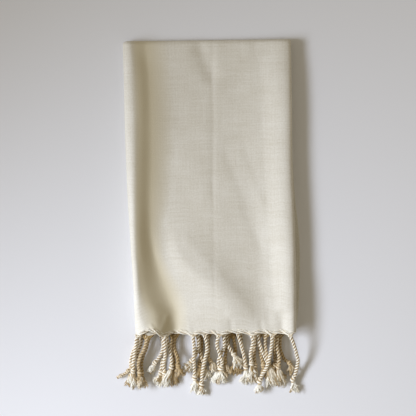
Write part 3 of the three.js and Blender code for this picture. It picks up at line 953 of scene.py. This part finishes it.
def plies(line, phase, girth=1.0, lay=LAY, step=RING_STEP):
    """Two strands wound about the line, and their core."""
    line = smoothed(resample(line, step))
    _, side, up = frames_along(line)
    run = np.arange(len(line)) * step
    opening = np.exp(-run / PARTING)
    lead = np.clip(run / LEAD_IN, 0, 1)
    turn = phase * lead - 2 * np.pi * np.maximum(run - UNTWISTED, 0) / lay / girth
    flatten = mix(0.5, 1.0, lead)
    parts = []
    for half in (0, np.pi):
        offset = (PLY_OFFSET + PARTING * opening) * girth
        centre = line + side * (np.cos(turn + half) * offset)[:, None]
        centre = centre + up * (np.sin(turn + half) * PLY_OFFSET * lead * girth)[:, None]
        uneven = 1 + 0.06 * np.sin(run * 1.7 + phase + half)
        strand = tube(centre, PLY_RADIUS * girth * flatten * uneven, PLY_SIDES)
        parts.append(paint_groove_shade(strand, line, GROOVE * girth, BACK * girth))
    # the core between the bundles is painted dark, as the shade in the seam
    return [*parts, tube(line[::2], CORE_RADIUS * girth * mix(0.3, 1.0, lead[::2]), 6, 1.0)]


print("a full turn every", LAY, "mm")

# %% [markdown]
# ## Knots
#
# An overhand knot tied in a tight cord shows little more than the cord going round itself. So the
# knot is one thick strand wound about twice round the cord's end, over a core painted in shade.

# %% Knots
KNOT_TURNS = 2.1
KNOT_REACH = 1.8  # from the middle of the cord to the middle of the wound strand
KNOT_STRAND = 1.15  # radius of that strand
KNOT_CORE = 1.7  # radius of the core
KNOT_GROOVE = 1.7  # where the knot's painted groove shade is darkest and where it has faded out, as for the twist
KNOT_BACK = 2.8


def knot(line, phase, girth=1.0):
    """A strand wound about twice round the cord's end, at the last points of the line."""
    line = smoothed(resample(line, 0.3), 3)
    _, side, up = frames_along(line)
    share = np.linspace(0, 1, len(line))
    turn = phase + 2 * np.pi * KNOT_TURNS * share
    out = KNOT_REACH * girth * np.sin(np.pi * np.clip(share * 0.86 + 0.07, 0, 1)) ** 0.35
    centre = line + side * (np.cos(turn) * out)[:, None] + up * (np.sin(turn) * out)[:, None]
    centre[:, 2] = np.maximum(centre[:, 2], girth + 0.05)
    wound = paint_groove_shade(tube(centre, KNOT_STRAND * girth, 8), line, KNOT_GROOVE * girth, KNOT_BACK * girth)
    # the wound strand gets painted groove shade, and the core is painted in shade
    return [wound, tube(line, KNOT_CORE * girth, 8, 0.7)]


print("a knot goes", KNOT_TURNS, "times round")

# %% [markdown]
# ## Tufts
#
# The tuft is the loose yarn beyond the knot. Hair particles could grow it, but they would be too
# fine and even. Here it is locks of thin tubes, which share a length, a bend and a painted tone: most
# are painted paler, as light through the fibres, and a few darker, as shade inside the tuft. Each
# strand curls in its own way. A plain core between them, painted a little pale, closes the view
# through the tuft.

# %% Tufts
LOCKS = 14  # in a tuft
LOCK = 6  # strands in each
STRAND_RADIUS = 0.46
STATIONS = 7  # points along a strand
PAINTED_TUFT_LIGHT = 0.25  # painted light: the palest tuft yarn has this depth below zero, standing in for light through the fibres
PAINTED_LOCK_SHADE = 0.8  # painted shade: depth of the darkest locks of a tuft


def tuft(line, spread):
    """Frayed yarn beyond the knot."""
    _, side, up = frames_along(line)
    start, aside, above = line[0], side[0], up[0]
    share = np.linspace(0, 1, STATIONS)
    drift = np.linspace(0, len(line) - 1, STATIONS)
    spine = np.column_stack([np.interp(drift, np.arange(len(line)), line[:, k]) for k in range(3)])
    core = np.interp(share, [0, 0.3, 0.7, 1], [1.3, 0.26 * spread, 0.26 * spread, 0.1 * spread])
    parts = [tube(start + (spine - start) * 0.8, core, 10, -0.1)]
    for _ in range(LOCKS):  # each with its own place in the tuft, length, slant, painted shade or light, and bend
        angle, middle_share = rng.uniform(0, 2 * np.pi), math.sqrt(rng.uniform(0, 1))
        reach, lean = rng.uniform(0.45, 1.12), rng.normal(0, 1.7)
        # painted: most locks paler, as light through the fibres, a few darker, as shade inside the tuft
        tan = mix(-PAINTED_TUFT_LIGHT, PAINTED_LOCK_SHADE, rng.uniform(0, 1) ** 3.5)
        bend = rng.uniform(0.6, 1.9) * np.sin(share * rng.uniform(3, 8) + rng.uniform(0, 6)) * share
        for _ in range(LOCK):  # each with its own spread and curl
            around = angle + rng.normal(0, 0.45)
            flare = middle_share * mix(1.5, spread * rng.uniform(0.8, 1.2), share**0.6)
            curl = rng.uniform(0.3, 1.0) * np.sin(share * rng.uniform(5, 12) + rng.uniform(0, 6)) * share
            path = (
                start
                + (spine - start) * reach * rng.uniform(0.8, 1.08)
                + aside * (np.cos(around) * flare + bend + curl + lean * share**2)[:, None]
                + above * (np.sin(around) * flare * 0.6 + bend * 0.5 + curl * 0.8)[:, None]
            )
            path[:, 2] = np.maximum(path[:, 2], STRAND_RADIUS + 0.1)
            radius = STRAND_RADIUS * np.interp(share, [0, 0.85, 1], [1, 1, 0.4])
            parts.append(tube(path, radius, 4, tan))
    return parts


print(LOCKS * LOCK, "strands in a tuft")

# %% [markdown]
# ## Gathers and edge yarns
#
# A cord takes up the warp of 28 mm of cloth, so beside its root threads run along the woven end and
# turn down into it. Those of a cord in shadow are more, and painted darker, as shade. The last picks
# of the weave are slack: two yarns that follow the woven end through all the folds.

# %% Gathers and edge yarns
GATHER_REACH = 9.0  # how far along the edge the strands of a cord are gathered from
GATHER_RADIUS = 0.42
GATHER_SHADES = 0.55  # how much more painted shade the darkest of them has than the palest
PALE_GATHER = {"strands": 14, "into": 6, "shade": 0.0, "draw": 0.5}
SHADED_GATHER = {"strands": 24, "into": 15, "shade": 0.45, "draw": 0.3}
SHADED_FROM = 0.2  # a cord with more painted shading than this has the shaded gather
EDGE_YARNS = [(0.5, 0.0, 0.7), (-1.7, 0.35, 0.42)]  # below the edge, lift, girth as a share of a cord's
EDGE_LAY = 26.0
EDGE_STEP = 1.0


def gather(c, line):
    """The warp that runs along the edge from both sides and turns down into a cord."""
    parts = []
    line = resample(line, RING_STEP)
    s = section_at(np.array([float(EDGE_LINE)]))
    low, high = float(s["left"][0]) + 2, float(s["right"][0]) - 2
    kind = SHADED_GATHER if c["tan"] > SHADED_FROM else PALE_GATHER
    for k in range(kind["strands"]):
        share = (k + 0.5) / kind["strands"] * 2 - 1 + rng.normal(0, 0.06)
        start_x = min(max(c["root"] + share * GATHER_REACH, low), high)
        start = edge_place(start_x, c["layer"])
        hem = edge_place(mix(start_x, c["root"], kind["draw"]), c["layer"])
        at = int(kind["into"] / 3 + kind["into"] * 0.6 * abs(share))
        meet = line[at] + [1.2 * share, 0, 0.7]
        into = line[int(kind["into"] + 4 * rng.uniform(0, 1))] + [0, 0, 0.3]
        below_hem = hem - [0, 0.4 + 0.8 * abs(share), -0.3]
        path = smooth_route([start + [0, 0.6, 0], below_hem, meet, into], 9)
        # painted shade of the strand
        shade = rng.uniform(kind["shade"], kind["shade"] + GATHER_SHADES)
        parts.append(tube(path, GATHER_RADIUS, 4, shade))
    return parts


def edge_yarn(angle):
    """The slack yarns along the woven end of the front half or, at half a turn, of the back half."""
    around = sheet_columns(hidden=70, shown=150, turn=8, roll=14)
    parts = []
    for below, lift, girth in EDGE_YARNS:
        line = sheet_point(around, angle, 0.0, below=below)
        line[:, 1] += 0.35 * np.sin(line[:, 0] / 3.1 + below)
        line[:, 2] += lift + 0.3 * np.sin(line[:, 0] / 2.3)
        strands = plies(line, below, girth, EDGE_LAY, EDGE_STEP)[:2]
        # the slack yarns get half the painted groove shade
        parts += [(*part[:3], part[3] * 0.5) for part in strands]
    return parts


print(len(EDGE_YARNS), "yarns along each woven end")

# %% [markdown]
# ## The two fringes
#
# Each cord is put together from its gather, twist, knot and tuft, and each fringe is one piece, as
# its plain comb in the packed model is. A cord that lies in shadow raises the depth of all its yarn,
# which paints it darker, as shade.

# %% The two fringes
THIN_GIRTH = 0.85  # of a cord whose tuft has worn away, as a share of the others'
FIRST_KNOT = 0.9  # the same of its two small knots
LAST_KNOT = 0.8
LOWEST = 0.02  # height at which yarn that would dip below the surface is held


def cord(c, line):
    """Gather, twist, knot and tuft of one cord, from its settled centre line."""
    at = knot_place(c, line)
    phase = rng.uniform(0, 2 * np.pi)
    if c["tuft"]:
        parts = [
            *gather(c, line),
            *plies(line[:at], phase),
            *knot(line[at - 2 : at + 2], phase),
            *tuft(line[at + 1 :], c["tuft"]),
        ]
    else:
        parts = [
            *plies(line, phase, THIN_GIRTH),
            *knot(line[at - 1 : at + 2], phase, FIRST_KNOT),
            *knot(line[-4:-1], phase, LAST_KNOT),
        ]
    # a cord's painted shading is added to the depth of all its yarn
    return [(*part[:3], mix(c["tan"], 1, part[3])) for part in parts]


def fringe(name, on_this_side, angle):
    """One fringe as one piece, from its slack yarns and its cords."""
    parts = edge_yarn(angle)
    for c, line in zip(CORDS, routes):
        if on_this_side(c["layer"]):
            parts += cord(c, line)
    points, quads, threads, depth = join(parts)
    points[:, 2] = np.maximum(points[:, 2], LOWEST)
    made = mesh_object(name, (points + shift) * MM, quads, threads)
    give_painted_shading(made, depth)
    print(name, len(made.data.polygons), "faces, lowest", round(float(points[:, 2].min()), 2), "mm")
    return made


front_fringe = fringe("front_fringe", lambda layer: layer < LAST / 2, 0.0)
back_fringe = fringe("back_fringe", lambda layer: layer > LAST / 2, math.pi)

# %% [markdown]
# ## Yarn
#
# Twisted yarn shows its fibres as fine slanting lines. They follow the strand, so the pattern reads
# the strand's own coordinates: round it and along it. By the stored depth, the backs of a cord stay
# pale, its grooves and the yarn that lies in shadow are painted tan and the bottom of a groove dark,
# as shade, and tuft yarn below zero is painted paler, as light through the fibres.

# %% Yarn
DULL_YARN = (0.93, 0.86, 0.66)
BRIGHT_YARN = (0.99, 0.965, 0.88)
PAINTED_LIGHT_YARN = (0.985, 0.945, 0.82)
PAINTED_SHADE_YARN = (0.68, 0.52, 0.29)
PAINTED_DEEP_SHADE_YARN = (0.34, 0.215, 0.065)


def yarn_finish():
    finish = Finish("twisted cotton yarn")
    u, v = finish.uv()
    fibre = ((u * 5.0 + v * 1.1) * (2 * math.pi)).sine() * 0.5 + 0.5
    fluff = finish.noise(u * 9.0, v * 3.0, detail=3.0)
    tone = finish.noise(u * 0.9 + 3.0, v * 0.12, detail=1.0)
    share = fibre * 0.2 + (fluff - 0.5) * 0.5 + (tone - 0.5) * 0.5 + 0.5
    colour = finish.tint(share, DULL_YARN, BRIGHT_YARN)
    deep = finish.node("ShaderNodeAttribute", {"attribute_name": "depth"}, output=2)
    # painted light, then painted shade, then painted deep shade, all by the stored depth
    colour = finish.tint(deep / -PAINTED_TUFT_LIGHT, colour, PAINTED_LIGHT_YARN)
    colour = finish.tint(deep * 1.6, colour, PAINTED_SHADE_YARN)
    colour = finish.tint(deep * 1.6 - 0.6, colour, PAINTED_DEEP_SHADE_YARN)
    bump = finish.node(
        "ShaderNodeBump",
        inputs={"Strength": 0.5, "Distance": 0.00025, "Height": fibre * 0.6 + fluff * 0.6},
    )
    shader = finish.node(
        "ShaderNodeBsdfPrincipled",
        inputs={
            "Base Color": colour,
            "Roughness": 0.9,
            "Specular IOR Level": 0.15,
            "Sheen Weight": 0.45,
            "Sheen Roughness": 0.5,
            "Normal": bump,
        },
    )
    return finish.done(shader)


yarn = yarn_finish()
for piece in (front_fringe, back_fringe):
    piece.data.materials.append(yarn)
print("yarn on both fringes")

# %% [markdown]
# ## The pieces in the frame
#
# Each piece rides on the one body and stands for its plain solid, which is hidden.

# %% The pieces in the frame
for piece, node, finish_slot in (
    (towel, "cloth", "cloth"),
    (front_fringe, "fringe_front", "fringe"),
    (back_fringe, "fringe_back", "fringe"),
):
    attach(piece, "root")
    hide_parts(node)
